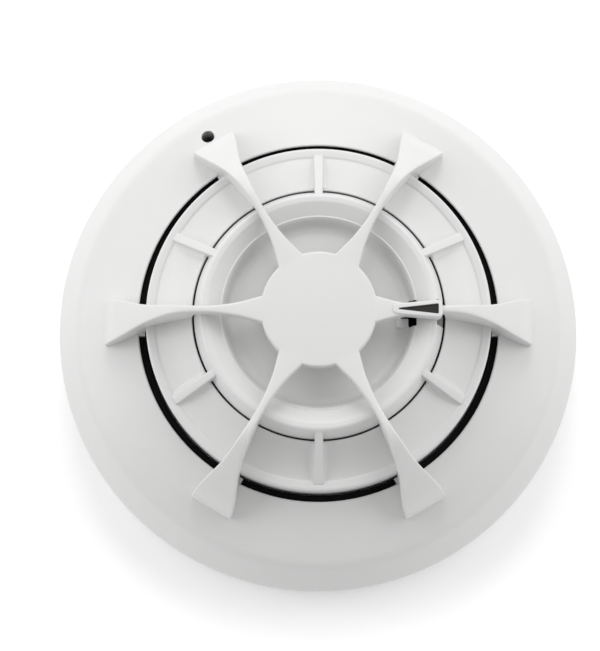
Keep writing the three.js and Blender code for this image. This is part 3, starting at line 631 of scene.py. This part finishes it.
def base_plate():
    radius, floor, rim, rim_inside = BASE.radius, BASE.floor, BASE.rim, BASE.rim_inside
    hole, collar = BASE.cable_hole, BASE.collar
    collar_top = floor + BASE.collar_height
    plate = turned("base_plate_fine", rounded([
        (hole, 0, 0.5), (radius, 0, 0.8), (radius, rim, 0.5), (rim_inside, rim, 0.4),
        (rim_inside, floor, 0.5), (collar, floor, 0.4), (collar, collar_top, 0.5),
        (hole, collar_top, 0.5),
    ]))
    sunk = floor - BASE.sink
    lug_outside = rim_inside + 0.6
    lock = (LOCK_HOLE.distance, LOCK_HOLE.degrees)
    joiners = [cylinder("lock_boss", BOSS.radius, sunk, BOSS.top, *lock)]
    cutters = [
        cylinder("lock_bore", BOSS.bore, -PAST, BOSS.bore_top, *lock),
        cylinder("lock_tip_hole", BOSS.tip_hole, BOSS.bore_top - PAST, BOSS.top + PAST, *lock),
    ]
    for angle in LUG.angles:
        joiners += [
            arc_block("lug", LUG.inner, lug_outside, LUG.bottom, rim, angle, LUG.half_angle),
            arc_block("stop", LUG.inner, lug_outside, sunk, rim, angle - LUG_STOP.behind,
                      LUG_STOP.half_angle, 3),
        ]
        cutters.append(arc_block("lug_window", LUG.inner + 0.2, rim_inside - 0.2, -PAST,
                                 floor + PAST, angle, LUG.window_half))
    for angle in PAD.angles:
        pad = block("pad", PAD.size, (PAD.distance, 0), sunk, PAD.top, 0.8)
        joiners.append(turn_about_z(pad, angle))
        cutters.append(cylinder(
            "pad_hole", PAD.hole, PAD.hole_bottom, PAD.top + PAST, PAD.hole_distance, angle))
    for angle in SLOT.angles:
        slot = block("slot", SLOT.size, (SLOT.distance, 0), -PAST, floor + PAST, SLOT.corner)
        cutters.append(turn_about_z(slot, angle))
    return apply_booleans(plate, cutters, joiners)


def at_lock(obj):
    return moved(obj, *polar(LOCK_HOLE.distance, LOCK_HOLE.degrees))


def lock_plunger():
    bottom, top, tip = PLUNGER.bottom, PLUNGER.top, PLUNGER.tip
    collar, collar_top = PLUNGER.collar, PLUNGER.collar_top
    return at_lock(turned("lock_plunger_fine", rounded([
        (0, bottom), (collar, bottom, 0.2), (collar, collar_top, 0.25), (tip, collar_top),
        (tip, top - 0.3, 0.2), (0.75, top, 0.2), (0, top),
    ]), FINE))


def lock_spring():
    coil, wire, turns = SPRING.coil, SPRING.wire, SPRING.turns
    low = SPRING.bottom + wire
    rise = SPRING.top - SPRING.bottom - 2 * wire
    steps, sides = 32 * turns, 12
    loops = []
    for k in range(steps + 1):
        share = k / steps
        angle = 2 * math.pi * turns * share
        out = Vector((math.cos(angle), math.sin(angle), 0))
        middle = out * coil + Vector((0, 0, low + rise * share))
        loops.append([
            middle + out * wire * math.cos(t) + Vector((0, 0, wire * math.sin(t)))
            for t in (2 * math.pi * m / sides for m in range(sides))
        ])
    bm = bmesh.new()
    loft(bm, loops)
    return at_lock(new_object("lock_spring_fine", bm, smooth_angle=60))


def lock_plug():
    """The plug under the spring, with a shallow dimple in its back."""
    radius, bottom, top, dimple = PLUG.radius, PLUG.bottom, PLUG.top, PLUG.bottom + 0.3
    return at_lock(turned("lock_plug_fine", rounded([
        (0, dimple), (0.6, dimple, 0.1), (0.9, bottom, 0.1), (radius, bottom, 0.2),
        (radius, top, 0.15), (0, top),
    ]), FINE))


# ---------------------------------------------------------------- materials

# The sockets of a Mix node that mixes colours have no names of their own.
MIX_FACTOR, MIX_FIRST, MIX_SECOND, MIX_RESULT = 0, 6, 7, 2
TONE_PERIOD, GLOSS_PERIOD = 14, 5            # of the soft changes, as multiples of the grain
NOISE_SPAN = (0.3, 0.7)                      # where nearly all of the noise lies


def surface(name, color, roughness, metallic=0.0, grain=0.3, bump=0.002, mottle=0.02, gloss=0.04,
            stretch=(1, 1, 1), **sockets):
    """A finish with fine bumps, and soft changes in tone and gloss.

    grain is the distance between bumps and bump their height, in mm; mottle and gloss are how far
    tone and roughness wander; stretch squeezes the pattern along each axis, for drawn or rolled
    metal; sockets are further values of the shader, by socket name.
    """
    material = bpy.data.materials.new(name)
    material.use_nodes = True
    tree = material.node_tree
    shader = tree.nodes["Principled BSDF"]
    shader.inputs["Metallic"].default_value = metallic
    for socket, value in sockets.items():
        shader.inputs[socket.replace("_", " ")].default_value = value
    coordinates = tree.nodes.new("ShaderNodeTexCoord")
    mapping = tree.nodes.new("ShaderNodeMapping")
    mapping.inputs["Scale"].default_value = stretch
    tree.links.new(coordinates.outputs["Object"], mapping.inputs["Vector"])

    def noise(period, detail):
        node = tree.nodes.new("ShaderNodeTexNoise")
        node.inputs["Scale"].default_value = 1 / (period * MM)
        node.inputs["Detail"].default_value = detail
        tree.links.new(mapping.outputs["Vector"], node.inputs["Vector"])
        return node.outputs["Fac"]

    tone = tree.nodes.new("ShaderNodeMix")
    tone.data_type = "RGBA"
    tree.links.new(noise(TONE_PERIOD * grain, 3), tone.inputs[MIX_FACTOR])
    for socket, share in ((MIX_FIRST, 1 - mottle), (MIX_SECOND, 1 + mottle)):
        tone.inputs[socket].default_value = (*(min(c * share, 1) for c in color), 1)
    tree.links.new(tone.outputs[MIX_RESULT], shader.inputs["Base Color"])

    spread = tree.nodes.new("ShaderNodeMapRange")
    tree.links.new(noise(GLOSS_PERIOD * grain, 2), spread.inputs["Value"])
    spread.inputs["From Min"].default_value, spread.inputs["From Max"].default_value = NOISE_SPAN
    spread.inputs["To Min"].default_value = max(roughness - gloss, 0.03)
    spread.inputs["To Max"].default_value = min(roughness + gloss, 1)
    tree.links.new(spread.outputs["Result"], shader.inputs["Roughness"])

    relief = tree.nodes.new("ShaderNodeBump")
    relief.inputs["Distance"].default_value = bump * MM
    tree.links.new(noise(grain, 2), relief.inputs["Height"])
    tree.links.new(relief.outputs["Normal"], shader.inputs["Normal"])
    return material


DRAWN = (1, 1, 0.08)            # pattern drawn out along Z
ROLLED = (0.1, 1, 1)            # pattern drawn out along X
MATERIALS = {
    "cover_white": surface(
        "cover_white", (0.7, 0.7, 0.695), 0.38, grain=0.28, bump=0.001, mottle=0.012),
    "base_white": surface(
        "base_white", (0.72, 0.71, 0.67), 0.46, grain=0.35, bump=0.002, mottle=0.03),
    "black_plastic": surface(
        "black_plastic", (0.003, 0.003, 0.003), 0.55, grain=0.3, bump=0.004, mottle=0.3,
        Specular_IOR_Level=0.12),
    "smoked_lens": surface(
        "smoked_lens", (0.012, 0.010, 0.009), 0.12, grain=0.5, bump=0.0006, mottle=0.25,
        Coat_Weight=0.6, Coat_Roughness=0.05),
    "tinned_wire": surface(
        "tinned_wire", (0.6, 0.6, 0.58), 0.3, 1, grain=0.2, mottle=0.1, gloss=0.1, stretch=DRAWN),
    "bead_coating": surface(
        "bead_coating", (0.03, 0.014, 0.008), 0.2, grain=0.4, mottle=0.3, Coat_Weight=0.5),
    "board_green": surface(
        "board_green", (0.02, 0.11, 0.045), 0.32, grain=0.6, mottle=0.25, Coat_Weight=0.3),
    "led_lens": surface("led_lens", (0.8, 0.68, 0.6), 0.2, grain=0.5, mottle=0.05, Coat_Weight=0.5),
    "chip_black": surface(
        "chip_black", (0.015, 0.015, 0.016), 0.5, grain=0.12, bump=0.004, mottle=0.2),
    "capacitor_sleeve": surface(
        "capacitor_sleeve", (0.02, 0.025, 0.03), 0.35, grain=0.3, mottle=0.15, stretch=DRAWN),
    "suppressor_blue": surface(
        "suppressor_blue", (0.03, 0.11, 0.27), 0.35, grain=0.35, bump=0.006, mottle=0.12,
        Coat_Weight=0.4),
    "label_paper": surface(
        "label_paper", (0.82, 0.81, 0.77), 0.8, grain=0.15, bump=0.006, mottle=0.05),
    "nickel": surface(
        "nickel", (0.55, 0.52, 0.45), 0.3, 1, grain=0.2, mottle=0.08, gloss=0.1, stretch=ROLLED),
    "steel": surface(
        "steel", (0.5, 0.5, 0.5), 0.3, 1, grain=0.2, mottle=0.12, gloss=0.12, stretch=DRAWN),
}


def finish_with(obj, slot):
    obj.data.materials.clear()
    obj.data.materials.append(MATERIALS[slot])
    return obj


# ---------------------------------------------------------------- the pieces

for part in frame["record"]["subparts"]:
    node = frame["nodes"][part["node"]]
    node.data.materials.clear()
    node.data.materials.append(MATERIALS[part["material_slot"]])

# What makes each fine piece, the node it stands for, its material slot and the body it rides on.
FINE_PIECES = (
    (outer_cover, "outer_cover", "cover_white", "head"),
    (dome_ring, "dome_ring", "cover_white", "head"),
    (chamber_collar, "chamber_collar", "cover_white", "head"),
    (baffle_ring, "baffle_ring", "black_plastic", "head"),
    (light_pipe, "light_pipe", "smoked_lens", "head"),
    (sensor_bead, "sensor_bead", "bead_coating", "head"),
    (lambda: sensor_lead(1), "sensor_lead_1", "tinned_wire", "head"),
    (lambda: sensor_lead(2), "sensor_lead_2", "tinned_wire", "head"),
    (sensor_holder, "sensor_holder", "black_plastic", "head"),
    (rear_label, "rear_label", "label_paper", "head"),
    (base_plate, "base_plate", "base_white", "base"),
    (lock_plunger, "lock_plunger", "black_plastic", "lock"),
    (lock_spring, "lock_spring", "steel", "base"),
    (lock_plug, "lock_plug", "base_white", "base"),
)
for make, node, slot, body in FINE_PIECES:
    piece = finish_with(make(), slot)
    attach(piece, body)
    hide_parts(node)
    if make is lock_spring:
        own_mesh(piece)


# ---------------------------------------------------------------- floor, light and camera

FLOOR_REACH = 4000              # mm from its middle to a side
WORLD_STRENGTH = 0.5


def make_floor():
    bm = bmesh.new()
    bmesh.ops.create_grid(bm, x_segments=1, y_segments=1, size=FLOOR_REACH)
    floor = new_object("floor", bm)
    floor.location.z = cad_box[0].z
    floor.data.materials.append(surface(
        "floor_white", (0.95, 0.95, 0.95), 0.9, grain=2, mottle=0.002, Emission_Color=(1, 1, 1, 1),
        Emission_Strength=0.16))


# Soft boxes round the object: azimuth and elevation in degrees, size in metres, power in watts.
SOFT_BOXES = {
    "right": (0, 25, 0.7, 2.3),
    "right_back": (30, 45, 0.7, 2.9),
    "back_low": (90, 25, 0.7, 2.1),
    "back": (90, 50, 0.4, 2.4),
    "left_back": (150, 45, 0.7, 2.2),
    "left": (180, 25, 0.7, 3.5),
}
SOFT_BOX_DISTANCE = 1.2


def toward(azimuth, elevation):
    """The direction from the object to that azimuth and elevation, in degrees."""
    a, e = math.radians(azimuth), math.radians(elevation)
    return Vector((math.cos(a) * math.cos(e), math.sin(a) * math.cos(e), math.sin(e)))


def aim(obj, target, direction, distance):
    """Puts obj at a distance from the target, looking at it."""
    obj.location = target + distance * direction
    obj.rotation_euler = (-direction).to_track_quat("-Z", "Y").to_euler()
    bpy.context.scene.collection.objects.link(obj)


def soft_box(name, azimuth, elevation, size, power):
    light = bpy.data.lights.new(name, "AREA")
    light.size = size
    light.energy = power
    aim(bpy.data.objects.new(name, light), Vector(), toward(azimuth, elevation), SOFT_BOX_DISTANCE)


# The photo's view: nearly from above, tilted a little towards -Y. Metres, and mm for the lens.
CAMERA = Sizes(
    azimuth=-90, elevation=81.5, distance=0.65, target=(-0.0039, 0.0021, 0.0075), lens=165,
    sensor=36)


def make_camera():
    camera = bpy.data.cameras.new("camera")
    camera.lens = CAMERA.lens
    camera.sensor_width = CAMERA.sensor
    obj = bpy.data.objects.new("camera", camera)
    direction = toward(CAMERA.azimuth, CAMERA.elevation)
    aim(obj, Vector(CAMERA.target), direction, CAMERA.distance)
    bpy.context.scene.camera = obj


def make_world():
    world = bpy.data.worlds.new("studio")
    world.use_nodes = True
    background = world.node_tree.nodes["Background"]
    background.inputs["Color"].default_value = (1, 1, 1, 1)
    background.inputs["Strength"].default_value = WORLD_STRENGTH
    bpy.context.scene.world = world


make_floor()
for box_name, setting in SOFT_BOXES.items():
    soft_box(box_name, *setting)
make_world()
bpy.context.scene.view_settings.view_transform = "Standard"
make_camera()
